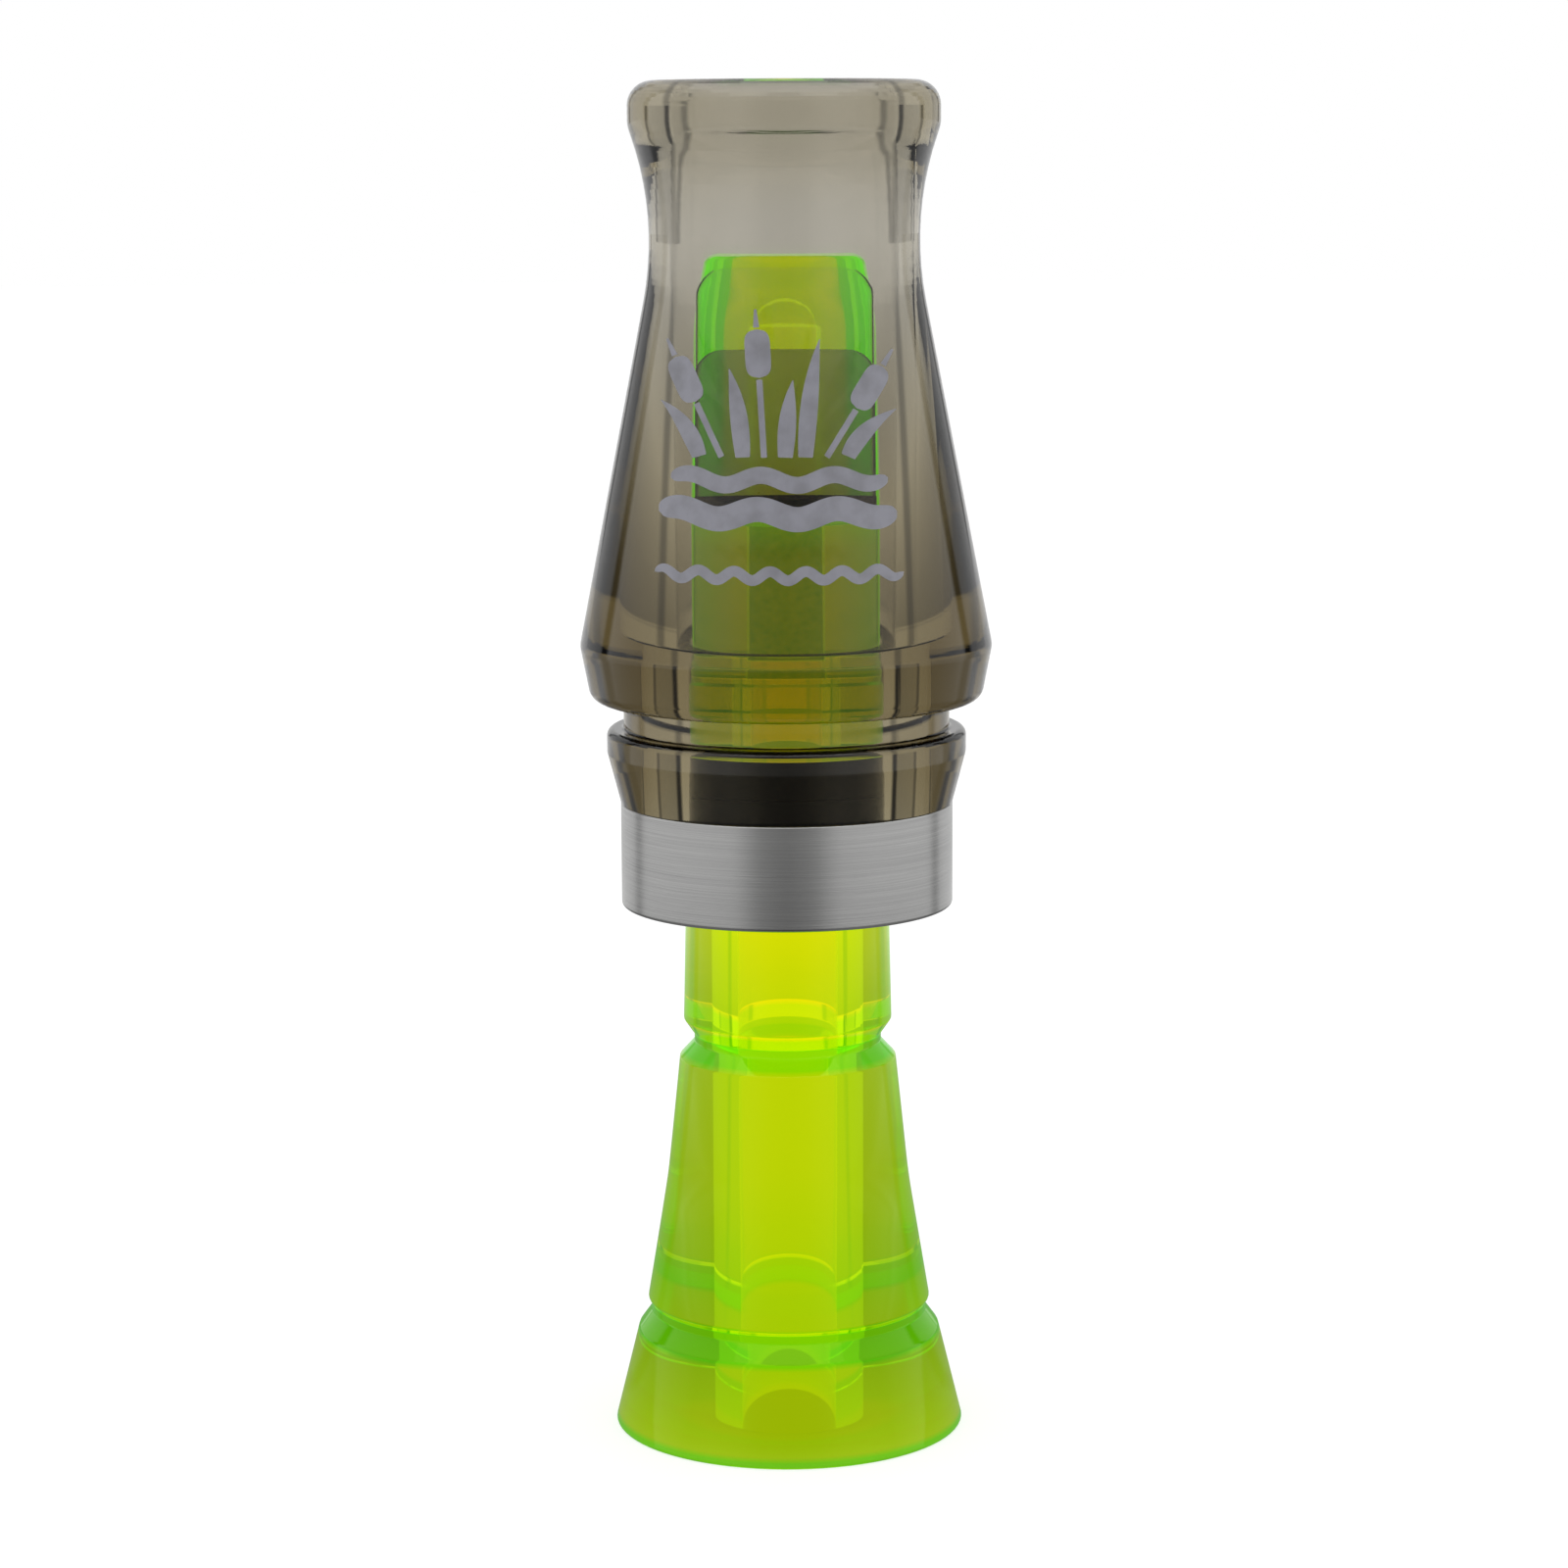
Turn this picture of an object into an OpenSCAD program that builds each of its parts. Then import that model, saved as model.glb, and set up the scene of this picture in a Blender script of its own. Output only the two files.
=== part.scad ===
// Double-reed duck call: a tinted barrel with a metal band, and a push-in insert that carries
// the tone board, two reeds and the wedge that holds them. All sizes are in millimetres.
// The call stands on its bell. +Z runs along the bore, up to the mouthpiece, and the reeds face -Y.

/* [Barrel] */
// Length of the barrel, from its lower end to the lip
barrel_len = 76.6; // [66:0.2:92]
// Largest radius of the barrel, where the cone meets the shoulder, before rounding
barrel_r = 19.28; // [18:0.02:24]
// Radius of the mouthpiece lip
lip_r = 14.42; // [14:0.02:18]
// Height of the straight side of the lip, with its rounding
lip_h = 4.1; // [3.6:0.05:6]
// Height of the flare under the lip, down to the middle of the neck
flare_h = 8.2; // [6:0.1:12]
// Radius of the hollow curve of the neck
neck_curve_r = 29; // [16:1:34]
// Wall of the neck, to which its curve adds about a millimetre
neck_wall = 1.05; // [0.8:0.05:3]
// How much larger in radius the air chamber is than the bore under it
chamber_step = 1.4; // [1:0.05:2]
// Radius of the bore that the insert fits
socket_r = 9.1; // [8.6:0.05:9.6]
// Height of that bore, from the foot of the barrel up to the air chamber
socket_h = 24.4; // [20:0.2:32]

/* [Collar and band] */
// Radius of the lanyard groove
groove_r = 15.28; // [14.4:0.02:16]
// Width of the lanyard groove
groove_w = 2.6; // [2:0.1:4]
// Radius of the collar under the groove
collar_r = 16.85; // [16.4:0.05:18]
// Height of the collar
collar_h = 7; // [6:0.1:9]
// Radius of the metal band
band_r = 15.6; // [15.2:0.05:16.2]
// Height of the metal band
band_h = 9.8; // [8:0.1:12]
// Wall of the metal band
band_wall = 1.2; // [0.8:0.1:1.6]

/* [Bell and stem] */
// Length of the insert that shows below the barrel
stem_len = 50.4; // [48:0.2:62]
// Radius of the bell at its foot
bell_r = 16.65; // [15:0.05:20]
// Height of the ring above the foot, up to the lower groove
bell_ring_h = 9.3; // [8:0.1:11]
// Depth of the lower groove, from the foot of the upper flare
bell_groove_depth = 0.35; // [0.2:0.05:1]
// Radius of the stem at the foot of its upper flare
flare_foot_r = 13.45; // [13.1:0.05:14.5]
// Radius of the stem at the top of its upper flare
flare_top_r = 10.25; // [10:0.05:11]
// Height of the top of the upper flare
flare_top_z = 35.7; // [33:0.1:37.5]
// Depth of the neck groove
stem_groove_depth = 1; // [0.6:0.05:1.6]
// Radius of the exhaust bore
exhaust_r = 4.76; // [4.2:0.02:5.4]
// Depth of the exhaust bore
exhaust_depth = 52.5; // [44:0.5:56]

/* [Tone board] */
// Length of the tenon, which the barrel's bore holds
tenon_len = 23; // [20:0.5:25]
// Length of the round collar that the reeds and the wedge are pushed into
clamp_len = 13; // [11:0.5:15]
// Length of the tone board, from the clamp collar to its tip
board_len = 24.4; // [22:0.2:28]
// How much slimmer in radius the tone board is than the tenon
board_inset = 0.1; // [0.05:0.01:0.4]
// How much the tone board's radius has narrowed at its tip
tip_inset = 1.6; // [1:0.05:2.2]
// Radius of the bore through the tenon
tone_bore_r = 3.35; // [3:0.05:3.8]
// How far the tone bore lies behind the call's axis, away from the reeds
tone_bore_back = 0.5; // [0:0.05:0.8]
// Thickness left between the tone bore and the flat lay that the reeds lie on
tone_floor = 0.45; // [0.3:0.05:0.8]
// How far the lay has curved away at the tip
lay_drop = 1; // [0.6:0.05:1.4]
// Width of the open tone channel
channel_w = 5.8; // [5:0.1:6.4]
// Distance from the tip of the tone board to the end of the channel
channel_gap = 4.6; // [3:0.2:10]

/* [Reeds and wedge] */
// Distance from a reed's edge to the edge of the lay
reed_margin = 0.42; // [0.1:0.02:0.8]
// Thickness of one reed
reed_t = 0.25; // [0.2:0.01:0.36]
// How much shorter the long reed is than the tone board
long_reed_gap = 1; // [0.6:0.1:2]
// How much shorter the short reed is than the tone board
short_reed_gap = 9; // [3:0.5:12]
// Radius of the rounded corners of the long reed
long_corner_r = 3; // [2:0.1:4]
// Radius of the rounded corners of the short reed
short_corner_r = 2.2; // [1.5:0.1:4]
// Width of the wedge's tongue
wedge_w = 5.4; // [4.6:0.1:7]
// Thickness of the wedge
wedge_t = 2.4; // [2:0.1:2.8]
// Height of the wedge's head, which stands out of the clamp collar
wedge_head_h = 1.9; // [1.4:0.1:3]

/* [Seals] */
// Height of one seal ring
seal_h = 2.9; // [1.6:0.1:3.2]
// Thickness of a seal ring, measured towards the axis
seal_t = 1.6; // [1:0.1:2]
// Distance from the barrel's lower end to the lower seal ring
seal_low = 9.2; // [4:0.1:12]

/* [Fits] */
// Radial clearance of the insert in the barrel
tenon_fit = 0.05; // [0.02:0.01:0.09]
// Radial clearance of a seal ring against the wall and its groove
seal_fit = 0.02; // [0.01:0.01:0.05]
// Glue gap between the band and the barrel
band_fit = 0.03; // [0.01:0.01:0.05]
// Gap between the barrel's lower end and the insert's shoulder
seat_gap = 0.1; // [0.05:0.05:0.2]
// Gap between stacked thin pieces
stack_gap = 0.03; // [0.02:0.01:0.05]
// Clearance of the reeds and the wedge at their sides and ends
slot_fit = 0.1; // [0.05:0.01:0.2]

/* [Hidden] */
$fn = 96;
arc_steps = 10;
past = 1; // how far a cutter runs past the face that it cuts
fine = 0.3; // fillet of small edges
collar_slope = 0.68; // share of the collar's height up to where its slope ends
lip_outer_round = 0.59; // rounding of the lip's outer edge, as a share of its wall
lip_inner_round = 0.26; // rounding of its inner edge
ring_taper = 0.247; // how far the bell's ring draws in for each millimetre of height
flare_hollow = 0.36; // how far the upper flare curves in halfway up
tip_taper_start = 0.27; // share of the tone board's length over which its tip narrows
tip_taper_first = 0.28; // share of the narrowing that is reached before there

// Barrel heights, measured up from its lower end
collar_top = band_h + collar_h;
shoulder_z = collar_top + groove_w;
shoulder_foot_r = barrel_r - 1; // the shoulder draws in to here at its foot
shoulder_h = 5.2; // height of the shoulder below the widest point
widest_z = shoulder_z + shoulder_h;
lip_foot_z = barrel_len - lip_h;
neck_z = lip_foot_z - flare_h;
chamber_r = socket_r + chamber_step;
neck_r = chamber_r + neck_wall;
lip_wall = lip_r - chamber_r;
band_seat_r = band_r - band_wall;

// Insert heights, measured up from the foot of the bell
tenon_r = socket_r - tenon_fit;
stem_top_r = tenon_r + 0.55; // the shoulder that stops the insert
stem_foot_r = tenon_r + 0.8;
shoulder_top = stem_len - seat_gap;
board_r = tenon_r - board_inset;
clamp_z = stem_len + tenon_len;
board_z = clamp_z + clamp_len;
tip_z = board_z + board_len;
lay_flat = 4.6; // length of the flat part of the lay, next to the wedge
channel_end = tip_z - channel_gap;
stem_groove_z = flare_top_z + 1.5;
stem_groove_h = 0.7;
stem_groove_r = stem_foot_r - stem_groove_depth;
stem_foot_z = stem_groove_z + stem_groove_h + 1.45;
lower_groove_z = bell_ring_h + 1.7;
lower_groove_h = 0.7;
lower_groove_r = flare_foot_r - bell_groove_depth;
flare_foot_z = lower_groove_z + lower_groove_h + 0.5;
seal_z = stem_len + seal_low;
seal_pitch = seal_h + stack_gap;
seal_floor_r = socket_r - seal_fit - seal_t;
flare_mid_z = (flare_foot_z + flare_top_z) / 2;
flare_mid_r = (flare_foot_r + flare_top_r) / 2 - flare_hollow;

// Places across the tone board, measured from the axis towards the reeds
lay_y = tone_bore_r - tone_bore_back + tone_floor;
reed_w = 2 * (sqrt(pow(board_r, 2) - pow(lay_y, 2)) - reed_margin);
long_reed_y = lay_y + stack_gap;
short_reed_y = long_reed_y + reed_t + stack_gap;
wedge_y = short_reed_y + reed_t + stack_gap;
keyway_top_y = wedge_y + wedge_t + stack_gap;
slot_floor_z = clamp_z + 0.5;
reed_foot_z = slot_floor_z + slot_fit;

// Unit vector from a to b
function toward(a, b) = (b - a) / norm(b - a);

// An arc's points from one tangent point to the other, rounding corner b between a and c.
// The arc is made smaller where its sides are too short for it.
function fillet(a, b, c, radius) =
    let (
        u = toward(b, a),
        v = toward(b, c),
        half = acos(max(-1, min(1, u * v))) / 2,
        r = min(radius, 0.95 * min(norm(a - b), norm(c - b)) * tan(half)),
        centre = b + (u + v) / norm(u + v) * r / sin(half),
        p = b + u * r / tan(half) - centre,
        q = b + v * r / tan(half) - centre,
        from = atan2(p[1], p[0]),
        turn = atan2(q[1], q[0]) - from,
        sweep = turn > 180 ? turn - 360 : turn < -180 ? turn + 360 : turn
    )
    [for (i = [0:arc_steps]) let (at = from + sweep * i / arc_steps) centre + r * [cos(at), sin(at)]];

// An outline's points from a list of [x, y, fillet radius]
function rounded(pts) =
    let (n = len(pts))
    [for (i = [0:n - 1])
        let (
            a = pts[(i + n - 1) % n],
            b = pts[i],
            c = pts[(i + 1) % n]
        )
        each (b[2] > 0
            ? fillet([a[0], a[1]], [b[0], b[1]], [c[0], c[1]], b[2])
            : [[b[0], b[1]]])];

// A ring turned from an outline of [radius, height, fillet radius]
module turned(pts) {
    rotate_extrude() polygon(rounded(pts));
}

// A block between two heights and two distances towards the reeds
module block(width, y_low, y_high, z_low, z_high) {
    translate([-width / 2, -y_high, z_low])
        cube([width, y_high - y_low, z_high - z_low]);
}

module barrel() {
    color([0.36, 0.33, 0.29, 0.5])
    translate([0, 0, stem_len])
    turned([
        [socket_r, 0, 0],
        [band_seat_r, 0, 0],
        [band_seat_r, band_h, 0],
        [band_r, band_h, 0],
        [collar_r, band_h + collar_slope * collar_h, 1],
        [collar_r, collar_top, 0.7],
        [groove_r, collar_top, fine],
        [groove_r, shoulder_z, fine],
        [shoulder_foot_r, shoulder_z, 1.4],
        [barrel_r, widest_z, 2],
        [neck_r, neck_z, neck_curve_r],
        [lip_r, lip_foot_z, 4],
        [lip_r, barrel_len, lip_outer_round * lip_wall],
        [chamber_r, barrel_len, lip_inner_round * lip_wall],
        [chamber_r, socket_h, fine],
        [socket_r, socket_h, fine]
    ]);
}

module band() {
    edge = 0.35;
    color([0.72, 0.72, 0.73])
    translate([0, 0, stem_len])
    turned([
        [band_seat_r + band_fit, 0, 0],
        [band_r, 0, edge],
        [band_r, band_h - band_fit, edge / 2],
        [band_seat_r + band_fit, band_h - band_fit, 0]
    ]);
}

// The outside of the insert, before the tone board is cut
module insert_blank() {
    turned([
        [0, 0, 0],
        [bell_r, 0, fine],
        [bell_r - ring_taper * bell_ring_h, bell_ring_h, 0.8],
        [lower_groove_r, lower_groove_z, fine],
        [lower_groove_r, lower_groove_z + lower_groove_h, fine],
        [flare_foot_r, flare_foot_z, 0.4],
        [flare_mid_r, flare_mid_z, 60],
        [flare_top_r, flare_top_z, fine],
        [stem_groove_r, stem_groove_z, fine],
        [stem_groove_r, stem_groove_z + stem_groove_h, fine],
        [stem_foot_r, stem_foot_z, 0.4],
        [stem_top_r, shoulder_top, 0],
        [tenon_r, shoulder_top, 0],
        [tenon_r, clamp_z - fine, 0],
        [board_r - 0.15, clamp_z, 0],
        [board_r, clamp_z + 1.4, 0],
        [board_r, board_z, 80],
        [board_r - tip_taper_first * tip_inset, tip_z - tip_taper_start * board_len, 20],
        [board_r - tip_inset, tip_z, 1],
        [0, tip_z, 0]
    ]);
}

// What is cut away above the lay: flat next to the wedge, then curving off to the tip
module lay_cut() {
    steps = 12;
    run = board_len - lay_flat;
    rotate([90, 0, 90])
    linear_extrude(2 * board_r + 2 * past, center = true)
    polygon(concat(
        [[-board_r - past, board_z], [-lay_y, board_z]],
        [for (i = [0:steps]) [-lay_y + lay_drop * pow(i / steps, 2), board_z + lay_flat + run * i / steps]],
        [[-lay_y + lay_drop, tip_z + past], [-board_r - past, tip_z + past]]
    ));
}

// The air's way through the insert: exhaust bore, tone bore and the open channel in the lay
module air_way() {
    throat_r = tone_bore_r - tone_bore_back;
    throat_h = exhaust_r - throat_r;
    channel_r = channel_w / 2;
    translate([0, 0, -past]) cylinder(r = exhaust_r, h = exhaust_depth + past);
    translate([0, 0, exhaust_depth]) cylinder(r1 = exhaust_r, r2 = throat_r, h = throat_h);
    translate([0, tone_bore_back, 0]) cylinder(r = tone_bore_r, h = channel_end - channel_r);
    block(channel_w, 0, lay_y + past, board_z, channel_end - channel_r);
    translate([0, 0, channel_end - channel_r]) rotate([90, 0, 0]) cylinder(r = channel_r, h = lay_y + past);
}

// The slot for the reeds, sawn right across, with a keyway above it for the wedge's tongue
module clamp_slot() {
    block(2 * board_r + 2 * past, lay_y, wedge_y, slot_floor_z, board_z + past);
    block(wedge_w + 2 * slot_fit, lay_y, keyway_top_y, slot_floor_z, board_z + past);
}

// One groove that holds both seal rings, one on the other
module seal_groove() {
    translate([0, 0, seal_z - stack_gap])
    difference() {
        cylinder(r = socket_r + past, h = seal_pitch + seal_h + 2 * stack_gap);
        translate([0, 0, -past]) cylinder(r = seal_floor_r - seal_fit, h = 2 * seal_pitch + 2 * past);
    }
}

module insert() {
    color([0.66, 0.85, 0.02, 0.7])
    difference() {
        insert_blank();
        lay_cut();
        air_way();
        clamp_slot();
        seal_groove();
    }
}

// A reed: a thin strip with two rounded corners at its free end
module reed(y_low, z_end, corner_r) {
    translate([0, -y_low, 0])
    rotate([90, 0, 0])
    linear_extrude(reed_t)
    polygon(rounded([
        [-reed_w / 2, reed_foot_z, 0],
        [reed_w / 2, reed_foot_z, 0],
        [reed_w / 2, z_end, corner_r],
        [-reed_w / 2, z_end, corner_r]
    ]));
}

module long_reed() {
    color([0.93, 0.93, 0.9, 0.35]) reed(long_reed_y, tip_z - long_reed_gap, long_corner_r);
}

module short_reed() {
    color([0.88, 0.88, 0.84, 0.55]) reed(short_reed_y, tip_z - short_reed_gap, short_corner_r);
}

// The wedge: a tongue that fills the keyway and a head that stops on the clamp collar
module wedge() {
    head_z = board_z + slot_fit;
    color([0.29, 0.19, 0.09])
    union() {
        block(wedge_w, wedge_y, wedge_y + wedge_t, reed_foot_z, head_z);
        intersection() {
            block(2 * board_r, wedge_y, wedge_y + wedge_t, head_z, head_z + wedge_head_h);
            translate([0, 0, board_z]) cylinder(r = board_r - slot_fit, h = 2 * wedge_head_h);
        }
    }
}

// A square-cut rubber ring
module seal_ring(z) {
    edge = 0.12;
    color([0.08, 0.08, 0.08])
    turned([
        [seal_floor_r, z, edge],
        [socket_r - seal_fit, z, edge],
        [socket_r - seal_fit, z + seal_h, edge],
        [seal_floor_r, z + seal_h, edge]
    ]);
}

module seal_lower() {
    seal_ring(seal_z);
}

module seal_upper() {
    seal_ring(seal_z + seal_pitch);
}

barrel();
band();
insert();
long_reed();
short_reed();
wedge();
seal_upper();
seal_lower();
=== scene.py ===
import bpy
import bmesh
import math
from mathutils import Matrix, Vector
from mathutils.bvhtree import BVHTree


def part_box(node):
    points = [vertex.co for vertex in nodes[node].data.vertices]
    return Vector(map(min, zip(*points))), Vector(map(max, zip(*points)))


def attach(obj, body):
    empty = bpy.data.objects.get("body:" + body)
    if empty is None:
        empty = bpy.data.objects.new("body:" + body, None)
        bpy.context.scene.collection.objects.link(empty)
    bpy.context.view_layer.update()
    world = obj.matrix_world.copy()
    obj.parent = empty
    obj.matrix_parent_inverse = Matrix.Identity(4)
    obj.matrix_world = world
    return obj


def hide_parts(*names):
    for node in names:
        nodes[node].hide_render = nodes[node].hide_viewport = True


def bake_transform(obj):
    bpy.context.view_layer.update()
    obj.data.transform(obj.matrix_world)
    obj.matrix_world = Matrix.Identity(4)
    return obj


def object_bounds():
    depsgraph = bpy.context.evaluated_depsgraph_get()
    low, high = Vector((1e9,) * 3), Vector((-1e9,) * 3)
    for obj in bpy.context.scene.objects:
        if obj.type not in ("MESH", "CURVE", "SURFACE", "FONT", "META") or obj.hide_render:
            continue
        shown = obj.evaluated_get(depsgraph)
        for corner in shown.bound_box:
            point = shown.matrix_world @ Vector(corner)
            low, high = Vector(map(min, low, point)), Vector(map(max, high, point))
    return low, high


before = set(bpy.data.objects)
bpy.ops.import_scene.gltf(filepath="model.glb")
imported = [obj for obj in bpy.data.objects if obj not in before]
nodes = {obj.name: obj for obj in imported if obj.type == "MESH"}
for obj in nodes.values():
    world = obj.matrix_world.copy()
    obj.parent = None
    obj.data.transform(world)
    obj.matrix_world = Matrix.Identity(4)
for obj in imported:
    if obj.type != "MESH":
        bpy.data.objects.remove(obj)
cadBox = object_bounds()
mm = 0.001
print("frame loaded, height", round((cadBox[1].z - cadBox[0].z) / mm, 1), "mm")


# a Value is one socket of a node, and sums on it add Math nodes
class Value:
    def __init__(self, paint, socket):
        self.paint = paint
        self.socket = socket

    def maths(self, operation, first, second):
        return self.paint.add("ShaderNodeMath", {"operation": operation}, {0: first, 1: second})

    def __add__(self, other):
        return self.maths("ADD", self, other)

    def __radd__(self, other):
        return self.maths("ADD", other, self)

    def __rsub__(self, other):
        return self.maths("SUBTRACT", other, self)

    def __mul__(self, other):
        return self.maths("MULTIPLY", self, other)

    def __rmul__(self, other):
        return self.maths("MULTIPLY", other, self)

    def __truediv__(self, other):
        return self.maths("DIVIDE", self, other)


class Paint:
    def __init__(self, tree):
        self.tree = tree
        tree.nodes.clear()

    # adds any node: its settings come first, then the numbers, colours or links of its sockets
    def add(self, kind, settings=None, sockets=None, output=0):
        node = self.tree.nodes.new(kind)
        for name, value in (settings or {}).items():
            if name == "stops":
                ramp = node.color_ramp
                while len(ramp.elements) < len(value):
                    ramp.elements.new(0.5)
                for element, (position, colour) in zip(ramp.elements, value):
                    element.position = position
                    element.color = colour
            else:
                setattr(node, name, value)
        for name, value in (sockets or {}).items():
            if isinstance(value, Value):
                self.tree.links.new(value.socket, node.inputs[name])
            else:
                node.inputs[name].default_value = value
        return Value(self, node.outputs[output]) if node.outputs else None

    # Object coordinates, stretched by a Mapping node
    def place(self, stretch=(1, 1, 1)):
        coordinates = self.add("ShaderNodeTexCoord", output=3)
        return self.add("ShaderNodeMapping", {}, {"Vector": coordinates, "Scale": stretch})

    def noise(self, scale, stretch=(1, 1, 1), detail=3.0):
        return self.add("ShaderNodeTexNoise", {}, {"Vector": self.place(stretch), "Scale": scale, "Detail": detail})

    # 0 below low, 1 above high
    def between(self, value, low, high):
        return self.add("ShaderNodeMapRange", {}, {"Value": value, "From Min": low, "From Max": high})

    # 1 from low to high, and 0 past a soft edge on either side
    def within(self, value, low, high, soft):
        return self.between(value, low - soft, low) * (1 - self.between(value, high, high + soft))

    def mixColours(self, share, first, second):
        return self.add("ShaderNodeMix", {"data_type": "RGBA"}, {0: share, 6: first, 7: second}, output=2)

    def bump(self, height, depth):
        return self.add("ShaderNodeBump", {}, {"Height": height, "Distance": depth, "Strength": 1.0})

    def plastic(self, sockets):
        return self.add("ShaderNodeBsdfPrincipled", {}, sockets)

    def finish(self, surface, volume=None):
        sockets = {"Surface": surface}
        if volume:
            sockets["Volume"] = volume
        self.add("ShaderNodeOutputMaterial", {}, sockets)


def newFinish(name):
    material = bpy.data.materials.new(name)
    material.use_nodes = True
    return material, Paint(material.node_tree)


def dress(piece, material):
    piece.data.materials.clear()
    piece.data.materials.append(material)


# tinted clear plastic of the barrel
smoke = {
    "tint": (0.79, 0.783, 0.765, 1),
    "ior": 1.49,
    "absorbed": (0.50, 0.41, 0.13, 1),
    "density": 108.0,
    "roughness": 0.008,
    "hazeRoughness": 0.015,
    "hazeScale": 90.0,
    "smearScale": 500.0,
    "waveScale": 60.0,
    "waveDepth": 0.000004,
}


def smokePlastic():
    material, paint = newFinish("smoke_plastic")
    haze = paint.noise(smoke["hazeScale"], detail=4.0)
    smear = paint.noise(smoke["smearScale"], (1, 1, 0.08), detail=2.0)
    wave = paint.noise(smoke["waveScale"], detail=1.0)
    shader = paint.plastic({
        "Base Color": smoke["tint"],
        "Roughness": smoke["roughness"] + smoke["hazeRoughness"] * paint.between(haze * smear, 0.25, 0.6),
        "IOR": smoke["ior"],
        "Transmission Weight": 1.0,
        "Normal": paint.bump(wave, smoke["waveDepth"]),
    })
    volume = paint.add("ShaderNodeVolumeAbsorption", {}, {"Color": smoke["absorbed"], "Density": smoke["density"]})
    paint.finish(shader, volume)
    return material


# Clear fluorescent plastic of the insert. Its glow is painted light standing in for the fluorescence: yellower
# round its bore than on its skin, with each glow at its share of the call's height, and a greener painted rim
# light, in base colour and glow, on its foot rim and its two grooves.
neon = {
    "tint": (0.96, 0.58, 0.015, 1),
    "ior": 1.49,
    "absorbed": (0.94, 0.95, 0.05, 1),
    "density": 420.0,
    "borePaintedLight": [(0.05, (0.30, 0.85, 0.0, 1)), (0.12, (0.44, 0.95, 0.0, 1)), (0.40, (0.44, 0.95, 0.0, 1)),
                 (0.50, (0.35, 0.5, 0.0, 1)), (0.66, (0.35, 0.5, 0.0, 1)), (0.72, (0.42, 1.0, 0.0, 1))],
    "skinPaintedLight": [(0.06, (0.50, 1.0, 0.0, 1)), (0.12, (0.24, 1.0, 0.0, 1)), (0.17, (0.48, 1.0, 0.0, 1)),
                 (0.40, (0.40, 1.0, 0.0, 1)), (0.50, (0.18, 0.5, 0.0, 1)), (0.66, (0.18, 0.5, 0.0, 1)),
                 (0.72, (0.13, 1.0, 0.0, 1))],
    "paintedLightStrength": 0.24,
    "boreRadius": 5.0 * mm,
    "outerRadius": 7.5 * mm,
    "edges": [(-1.0 * mm, 0.6 * mm), (9.2 * mm, 11.9 * mm), (36.2 * mm, 38.9 * mm)],
    "paintedEdgeFade": 0.5 * mm,
    "paintedEdgeTint": (0.38, 0.72, 0.01, 1),
    "paintedEdgeLight": (0.10, 0.95, 0.0, 1),
    "shine": (0.85, 1.0, 0.15, 1),
    "roughness": 0.012,
    "hazeRoughness": 0.02,
    "hazeScale": 120.0,
    "waveScale": 80.0,
    "waveDepth": 0.000006,
}


def neonPlastic():
    material, paint = newFinish("neon_plastic")
    haze = paint.noise(neon["hazeScale"], detail=4.0)
    wave = paint.noise(neon["waveScale"], detail=1.0)
    fromAxis = paint.add("ShaderNodeVectorMath", {"operation": "LENGTH"}, {0: paint.place((1, 1, 0))}, output=1)
    outside = paint.between(fromAxis, neon["boreRadius"], neon["outerRadius"])
    height = paint.add("ShaderNodeSeparateXYZ", {}, {"Vector": paint.place()}, output=2)
    # painted green rim light at the foot and at the two grooves
    edge = outside * sum(paint.within(height, low, high, neon["paintedEdgeFade"]) for low, high in neon["edges"])
    up = height / cadBox[1].z
    # painted light: glow colours set by height, round the bore and on the skin
    bore = paint.add("ShaderNodeValToRGB", {"stops": neon["borePaintedLight"]}, {"Fac": up})
    skin = paint.add("ShaderNodeValToRGB", {"stops": neon["skinPaintedLight"]}, {"Fac": up})
    # the emission is painted light, and the green rim tint in the base colour is painted too
    shader = paint.plastic({
        "Base Color": paint.mixColours(edge, neon["tint"], neon["paintedEdgeTint"]),
        "Roughness": neon["roughness"] + neon["hazeRoughness"] * paint.between(haze, 0.35, 0.7),
        "IOR": neon["ior"],
        "Transmission Weight": 1.0,
        "Specular Tint": neon["shine"],
        "Emission Color": paint.mixColours(outside, bore, paint.mixColours(edge, skin, neon["paintedEdgeLight"])),
        "Emission Strength": neon["paintedLightStrength"],
        "Normal": paint.bump(wave, neon["waveDepth"]),
    })
    volume = paint.add("ShaderNodeVolumeAbsorption", {}, {"Color": neon["absorbed"], "Density": neon["density"]})
    paint.finish(shader, volume)
    return material


# aluminium of the band, brushed round its axis
brushed = {
    "dark": (0.47, 0.47, 0.465, 1),
    "light": (0.60, 0.60, 0.59, 1),
    "roughness": 0.17,
    "fineScale": 60.0,
    "coarseScale": 20.0,
    "scratchScale": 150.0,
    "stainScale": 140.0,
    "grooveDepth": 0.000002,
}


def brushedAluminium():
    material, paint = newFinish("brushed_aluminium")
    fine = paint.noise(brushed["fineScale"], (1, 1, 240), detail=2.0)
    coarse = paint.noise(brushed["coarseScale"], (1, 1, 70), detail=3.0)
    scratches = paint.between(paint.noise(brushed["scratchScale"], (1, 1, 55), detail=1.0), 0.66, 0.74)
    lines = paint.between(0.75 * fine + 0.25 * coarse, 0.3, 0.7)
    stains = paint.between(paint.noise(brushed["stainScale"], detail=5.0), 0.4, 0.75)
    shader = paint.plastic({
        "Base Color": paint.mixColours(lines + 0.35 * scratches, brushed["dark"], brushed["light"]),
        "Metallic": 1.0,
        "Roughness": brushed["roughness"] + 0.06 * lines + 0.03 * stains,
        "Normal": paint.bump(lines + scratches, brushed["grooveDepth"]),
    })
    paint.finish(shader)
    return material


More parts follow.
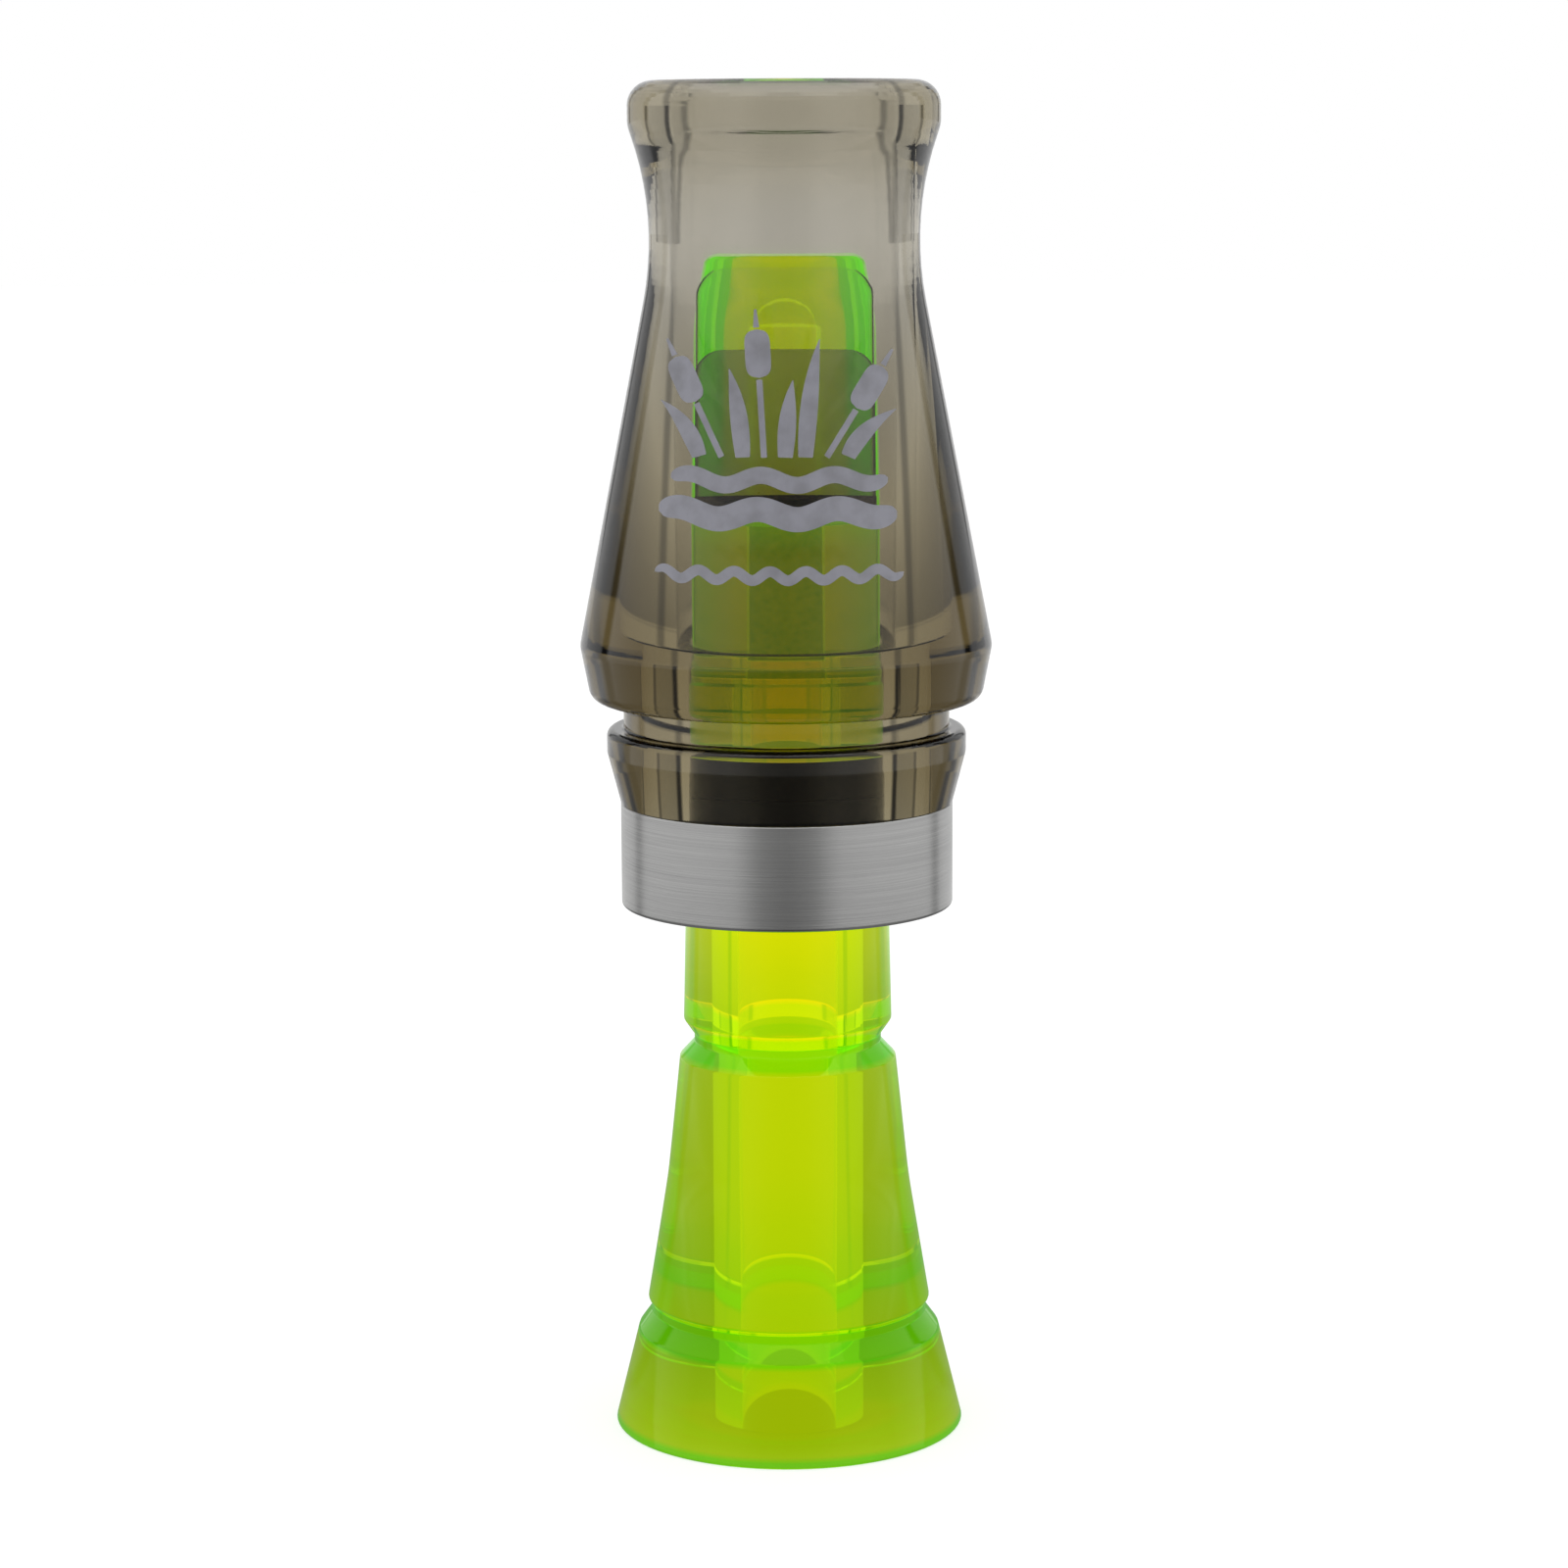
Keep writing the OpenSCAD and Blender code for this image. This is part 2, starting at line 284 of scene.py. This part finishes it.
# films of the reeds: the long one is clear and the short one on top of it is frosted
film = {
    "ior": 1.57,
    "grainScale": 1800.0,
    "scuffScale": 160.0,
    "clear": {"tint": (0.97, 0.97, 0.95, 1), "clear": 1.0, "roughness": 0.03, "grain": 0.02, "depth": 0.0000005},
    "frosted": {"tint": (0.72, 0.70, 0.66, 1), "clear": 0.82, "roughness": 0.24, "grain": 0.12, "depth": 0.000003},
}


def reedPlastic(name, look):
    material, paint = newFinish(name)
    grain = paint.noise(film["grainScale"], detail=3.0)
    scuffs = paint.between(paint.noise(film["scuffScale"], (1, 1, 0.2), detail=3.0), 0.5, 0.8)
    shader = paint.plastic({
        "Base Color": look["tint"],
        "Roughness": look["roughness"] + look["grain"] * (grain + scuffs),
        "IOR": film["ior"],
        "Transmission Weight": look["clear"],
        "Normal": paint.bump(grain, look["depth"]),
    })
    paint.finish(shader)
    return material


# cork of the wedge; the end that sticks out is painted near-black as painted shade
cork = {
    "dark": (0.26, 0.12, 0.03, 1),
    "light": (0.58, 0.32, 0.09, 1),
    "shadedHeadDark": (0.018, 0.010, 0.005, 1),
    "shadedHeadLight": (0.07, 0.042, 0.018, 1),
    "shadedHeadHeight": 1.9 * mm,
    "shadedHeadFade": (0.6 * mm, 0.2 * mm),
    "grain": 1400.0,
    "blotchScale": 900.0,
    "poreDepth": 0.00008,
}
wedgeLow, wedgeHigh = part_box("wedge")
# where the painted shade on the wedge begins
shadeFoot = wedgeHigh.z - cork["shadedHeadHeight"]


def corkGrain():
    material, paint = newFinish("cork")
    cells = paint.add("ShaderNodeTexVoronoi", {"feature": "F1"}, {"Vector": paint.place(), "Scale": cork["grain"]})
    pores = paint.between(cells, 0.1, 0.7)
    blotch = paint.between(paint.noise(cork["blotchScale"], detail=4.0), 0.35, 0.65)
    up = paint.add("ShaderNodeSeparateXYZ", {}, {"Vector": paint.place()}, output=2)
    # painted shade over the end of the wedge that sticks out
    headShadeMask = paint.between(up, shadeFoot - cork["shadedHeadFade"][0], shadeFoot + cork["shadedHeadFade"][1])
    mottle = 0.5 * pores + 0.5 * blotch
    shader = paint.plastic({
        "Base Color": paint.mixColours(headShadeMask, paint.mixColours(mottle, cork["dark"], cork["light"]),
                                       paint.mixColours(mottle, cork["shadedHeadDark"], cork["shadedHeadLight"])),
        "Roughness": 0.75 + 0.15 * blotch,
        "Normal": paint.bump(pores, cork["poreDepth"]),
    })
    paint.finish(shader)
    return material


# black rubber of the seal rings
rubber = {
    "black": (0.004, 0.004, 0.004, 1),
    "dusty": (0.014, 0.015, 0.012, 1),
    "roughness": 0.38,
    "specular": 0.25,
    "dustScale": 900.0,
    "dustDepth": 0.000003,
}


def sealRubber():
    material, paint = newFinish("seal_rubber")
    dust = paint.between(paint.noise(rubber["dustScale"], detail=4.0), 0.5, 0.8)
    shader = paint.plastic({
        "Base Color": paint.mixColours(dust, rubber["black"], rubber["dusty"]),
        "Roughness": rubber["roughness"] + 0.25 * dust,
        "Specular IOR Level": rubber["specular"],
        "Normal": paint.bump(dust, rubber["dustDepth"]),
    })
    paint.finish(shader)
    return material


# pad-printed ink
ink = {
    "light": (0.36, 0.36, 0.41, 1),
    "thin": (0.28, 0.28, 0.31, 1),
    "roughness": 0.45,
    "coverScale": 500.0,
    "speckScale": 2500.0,
    "speckDepth": 0.000004,
}


def printInk():
    material, paint = newFinish("print_ink")
    cover = paint.between(paint.noise(ink["coverScale"], detail=4.0), 0.3, 0.6)
    speck = paint.noise(ink["speckScale"], detail=2.0)
    shader = paint.plastic({
        "Base Color": paint.mixColours(cover, ink["thin"], ink["light"]),
        "Roughness": ink["roughness"] + 0.15 * speck,
        "Normal": paint.bump(speck, ink["speckDepth"]),
    })
    paint.finish(shader)
    return material


dress(nodes["barrel"], smokePlastic())
dress(nodes["insert"], neonPlastic())
dress(nodes["band"], brushedAluminium())
dress(nodes["wedge"], corkGrain())
sealMaterial = sealRubber()
dress(nodes["seal_upper"], sealMaterial)
dress(nodes["seal_lower"], sealMaterial)
print("finishes made")


def newPiece(name, bm, material):
    mesh = bpy.data.meshes.new(name)
    bm.to_mesh(mesh)
    bm.free()
    piece = bpy.data.objects.new(name, mesh)
    bpy.context.scene.collection.objects.link(piece)
    mesh.materials.append(material)
    return piece


# the reeds: flat films from the wedge to their rounded tips, the short one with a dimple
reeds = {
    "across": 28,
    "along": 90,
    "tipCrowding": 1.7,
    "bendStart": 0.8 * mm,
    "longCorner": 3.0 * mm,
    "shortCorner": 2.2 * mm,
    "dimpleRadius": 1.7 * mm,
    "dimpleHeight": 0.22 * mm,
    "dimpleFromTip": 6.0 * mm,
}


def reedFilm(name, node, corner, dimple, material):
    low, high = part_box(node)
    half = (high.x - low.x) / 2
    length = high.z - low.z
    bm = bmesh.new()
    bmesh.ops.create_grid(bm, x_segments=reeds["across"], y_segments=reeds["along"], size=1.0)
    for v in bm.verts:
        across = v.co.x
        along = 1 - (1 - (v.co.y + 1) / 2) ** reeds["tipCrowding"]
        fromTip = length * (1 - along)
        width = half
        if fromTip < corner:
            width = half - corner + math.sqrt(max(corner ** 2 - (corner - fromTip) ** 2, 0))
        x = across * width
        lift = 0
        if dimple:
            away = math.hypot(x, fromTip - reeds["dimpleFromTip"]) / reeds["dimpleRadius"]
            lift = reeds["dimpleHeight"] * (0.5 + 0.5 * math.cos(math.pi * min(away, 1)))
        v.co = Vector((x, high.y - lift, low.z + length * along))
    bmesh.ops.recalc_face_normals(bm, faces=bm.faces)
    shell = bmesh.ops.extrude_face_region(bm, geom=bm.faces[:])
    moved = [v for v in shell["geom"] if isinstance(v, bmesh.types.BMVert)]
    bmesh.ops.translate(bm, vec=(0, low.y - high.y, 0), verts=moved)
    bmesh.ops.recalc_face_normals(bm, faces=bm.faces)
    piece = newPiece(name, bm, material)
    for face in piece.data.polygons:
        face.use_smooth = abs(face.normal.y) > 0.7
    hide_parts(node)
    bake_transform(piece)
    return piece


reedFilm("long_reed_film", "long_reed", reeds["longCorner"], False, reedPlastic("clear_film", film["clear"]))
reedFilm("short_reed_film", "short_reed", reeds["shortCorner"], True, reedPlastic("frosted_film", film["frosted"]))
print("reeds made")


# the print on the barrel: cattails over water, laid on by a soft pad from the front
mark = {
    "ink": 0.03 * mm,
    "lift": 0.01 * mm,
    "waterline": 93.6 * mm,
    "stalkWidth": 0.55 * mm,
    "headLength": 4.3 * mm,
    "headWidth": 2.3 * mm,
    "spikeLength": 1.6 * mm,
    "gap": 0.15 * mm,
    "padFrom": 40 * mm,
    # side of the foot and of the tip, height of the tip
    "stalks": [(-5.7, -8.0, 98.4), (-1.9, -2.3, 100.6), (3.7, 6.4, 97.8)],
    # the same, and the width
    "leaves": [(-7.7, -11.2, 98.4, 1.6), (-3.8, -5.0, 101.4, 1.6), (0.0, 0.7, 100.4, 1.6), (1.8, 3.1, 104.0, 1.6),
               (5.6, 10.0, 97.6, 1.6)],
    # height, left end, right end, width, swing and number of crests
    "waves": [(91.6, -10.3, 9.2, 1.5, 0.45, 3), (88.6, -11.4, 10.0, 2.2, 0.45, 3),
              (83.2, -11.8, 10.6, 0.95, 0.4, 7)],
}
barrelShell = nodes["barrel"].data
barrelTree = BVHTree.FromPolygons([v.co for v in barrelShell.vertices], [p.vertices for p in barrelShell.polygons])


def padPrinted(side, height):
    place, normal, _, _ = barrelTree.ray_cast(Vector((side, -mark["padFrom"], height)), Vector((0, 1, 0)))
    return place, normal


# a stroke of ink along a path, with a width at each share of its length
def stroke(bm, path, width, steps):
    for v in bmesh.ops.create_grid(bm, x_segments=4, y_segments=steps, size=1.0)["verts"]:
        share = (v.co.y + 1) / 2
        ahead = path(share + 0.01) - path(share - 0.01)
        across = Vector((ahead.y, -ahead.x)).normalized()
        at = path(share) + across * v.co.x * width(share) / 2
        v.co = Vector((at.x, 0, at.y))


def printedMark(material):
    bm = bmesh.new()
    waterline = mark["waterline"]
    for footSide, tipSide, top in mark["stalks"]:
        foot = Vector((footSide * mm, waterline))
        tip = Vector((tipSide * mm, top * mm))
        rise = (tip - foot).normalized()
        headTop = tip + rise * mark["headLength"]
        spikeFoot = headTop + rise * mark["gap"]
        spikeTop = spikeFoot + rise * mark["spikeLength"]
        stroke(bm, lambda t: foot.lerp(tip - rise * mark["gap"], t), lambda t: mark["stalkWidth"], 20)
        stroke(bm, lambda t: tip.lerp(headTop, t),
               lambda t: mark["headWidth"] * max(1 - abs(2 * t - 1) ** 5, 0.0001) ** 0.5, 26)
        stroke(bm, lambda t: spikeFoot.lerp(spikeTop, t), lambda t: mark["stalkWidth"] * (1 - 0.6 * t), 6)
    for footSide, tipSide, top, width in mark["leaves"]:
        foot = Vector((footSide * mm, waterline))
        tip = Vector((tipSide * mm, top * mm))
        bend = Vector(((0.75 * footSide + 0.25 * tipSide) * mm, waterline + 0.6 * (top * mm - waterline)))
        stroke(bm, lambda t: foot.lerp(bend, t).lerp(bend.lerp(tip, t), t),
               lambda t: width * mm * math.sin(math.pi * (0.30 + 0.69 * t)), 36)
    for height, left, right, width, swing, crests in mark["waves"]:
        stroke(bm, lambda t: Vector(((left + (right - left) * t) * mm,
                                     (height + swing * math.sin(2 * crests * math.pi * t)) * mm)),
               lambda t: width * mm * max(1 - abs(2 * t - 1) ** 14, 0.0001) ** 0.5, 110)
    for v in bm.verts:
        place, normal = padPrinted(v.co.x, v.co.z)
        v.co = place + normal * mark["lift"]
    bmesh.ops.recalc_face_normals(bm, faces=bm.faces)
    for face in bm.faces:
        if face.normal.y > 0:
            face.normal_flip()
    shell = bmesh.ops.extrude_face_region(bm, geom=bm.faces[:])
    for v in shell["geom"]:
        if isinstance(v, bmesh.types.BMVert):
            v.co += Vector((v.co.x, v.co.y, 0)).normalized() * mark["ink"]
    bmesh.ops.recalc_face_normals(bm, faces=bm.faces)
    piece = newPiece("printed_mark", bm, material)
    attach(piece, "barrel")
    return piece


printedMark(printInk())
print("print made")


# The backdrop and the floor look white. What the plastic and the metal mirror of them is a room of panels with
# dark gaps. Each level stands at its share of the half turn from straight behind to straight in front.
room = {
    "white": 1.0,
    "strength": 1.2,
    "overhead": 1.1,
    "overheadFrom": 0.4,
    "overheadTo": 0.9,
    "levels": [(0.0, 0.66), (0.105, 0.66), (0.12, 0.24), (0.135, 0.24), (0.15, 0.50), (0.295, 0.42), (0.315, 0.04),
               (0.335, 0.04), (0.355, 0.70), (0.55, 0.62), (0.60, 0.50), (0.70, 0.62), (0.80, 0.56), (0.90, 0.27),
               (1.0, 0.20)],
}
# the floor's light is greyer in front, and darker near the call than far off and darkest right beneath it, which is
# painted shadow
floorLook = {
    "radius": 3.0,
    "white": 0.66,
    "lit": (0.40, 0.40, 0.40, 1),
    "cloudy": (0.41, 0.41, 0.41, 1),
    "levels": [(0.0, 0.79), (0.28, 0.74), (0.31, 0.36), (0.335, 0.36), (0.36, 0.76), (0.62, 0.76), (0.70, 0.74),
               (0.80, 0.70), (0.90, 0.36), (1.0, 0.27)],
    "reach": 0.5,
    "byDistance": [(0.0, 0.26), (0.32, 0.28), (0.44, 0.60), (0.54, 1.0), (0.62, 0.80), (0.70, 0.80), (0.82, 1.0)],
    "under": 0.20,
    "underFrom": 0.018,
    "underTo": 0.048,
}


def greys(levels):
    return [(place, (level, level, level, 1)) for place, level in levels]


# the level in the direction that a vector points in, and the vector's height
def levelTowards(paint, vector, levels):
    split = paint.add("ShaderNodeSeparateXYZ", {}, {"Vector": vector}).socket.node
    x, y, z = [Value(paint, socket) for socket in split.outputs]
    side = paint.add("ShaderNodeMath", {"operation": "ABSOLUTE"}, {0: x})
    turn = paint.add("ShaderNodeMath", {"operation": "ARCTAN2"}, {0: side, 1: y}) / math.pi
    return paint.add("ShaderNodeValToRGB", {"stops": greys(levels)}, {"Fac": turn}), z


def paleFloor():
    bm = bmesh.new()
    bmesh.ops.create_circle(bm, cap_ends=True, segments=96, radius=floorLook["radius"])
    material, paint = newFinish("pale_floor")
    cloud = paint.noise(3.0, detail=3.0)
    bare = paint.add("ShaderNodeBsdfDiffuse", {}, {
        "Color": paint.mixColours(cloud, floorLook["lit"], floorLook["cloudy"])})
    glow = paint.add("ShaderNodeEmission", {}, {"Color": (1, 1, 1, 1), "Strength": floorLook["white"]})
    white = paint.add("ShaderNodeAddShader", {}, {0: bare, 1: glow})
    at = paint.place()
    distance = paint.add("ShaderNodeVectorMath", {"operation": "LENGTH"}, {0: at}, output=1)
    # levels by distance from the call; the low levels close to it are painted shadow
    share = paint.add("ShaderNodeValToRGB", {"stops": greys(floorLook["byDistance"])},
                      {"Fac": distance / floorLook["reach"]})
    aroundIt, _ = levelTowards(paint, at, floorLook["levels"])
    # painted shadow: the floor's light drops to its darkest beneath the call
    away = paint.between(distance, floorLook["underFrom"], floorLook["underTo"])
    level = away * (aroundIt * share) + (1 - away) * floorLook["under"]
    mirrored = paint.add("ShaderNodeEmission", {}, {"Color": (1, 1, 1, 1), "Strength": level})
    seen = paint.add("ShaderNodeLightPath")
    paint.finish(paint.add("ShaderNodeMixShader", {}, {0: seen, 1: mirrored, 2: white}))
    newPiece("floor", bm, material)


def studioRoom():
    world = bpy.data.worlds.new("studio")
    bpy.context.scene.world = world
    world.use_nodes = True
    paint = Paint(world.node_tree)
    panels, up = levelTowards(paint, paint.add("ShaderNodeTexCoord"), room["levels"])
    top = paint.between(up, room["overheadFrom"], room["overheadTo"])
    level = room["strength"] * panels * (1 - top) + room["overhead"] * top
    seen = paint.add("ShaderNodeLightPath")
    strength = seen * room["white"] + (1 - seen) * level
    background = paint.add("ShaderNodeBackground", {}, {"Color": (1, 1, 1, 1), "Strength": strength})
    paint.add("ShaderNodeOutputWorld", {}, {"Surface": background})


lamp = {"place": (0, -0.1, 0.9), "aim": (0, 0, 0), "side": 1.2, "power": 2.5}


def softbox():
    light = bpy.data.lights.new("softbox_top", "AREA")
    light.shape = "RECTANGLE"
    light.size = lamp["side"]
    light.size_y = lamp["side"]
    light.energy = lamp["power"]
    box = bpy.data.objects.new("softbox_top", light)
    box.location = lamp["place"]
    box.rotation_euler = (Vector(lamp["aim"]) - Vector(lamp["place"])).to_track_quat("-Z", "Y").to_euler()
    bpy.context.scene.collection.objects.link(box)


# lens and sensor in mm, place in metres, angles in degrees
view = {"lens": 94.5, "sensor": 36.0, "near": 0.01, "back": 0.3826, "height": 0.12246, "pitch": 9.03, "roll": 0.24}


def camera():
    data = bpy.data.cameras.new("camera")
    data.lens = view["lens"]
    data.sensor_width = view["sensor"]
    data.clip_start = view["near"]
    cam = bpy.data.objects.new("camera", data)
    cam.location = (0, -view["back"], view["height"])
    cam.rotation_mode = "XYZ"
    cam.rotation_euler = (math.radians(90 - view["pitch"]), math.radians(view["roll"]), 0)
    bpy.context.scene.collection.objects.link(cam)
    bpy.context.scene.camera = cam


paleFloor()
studioRoom()
softbox()
camera()
bpy.context.scene.view_settings.view_transform = "Standard"
print("studio ready")
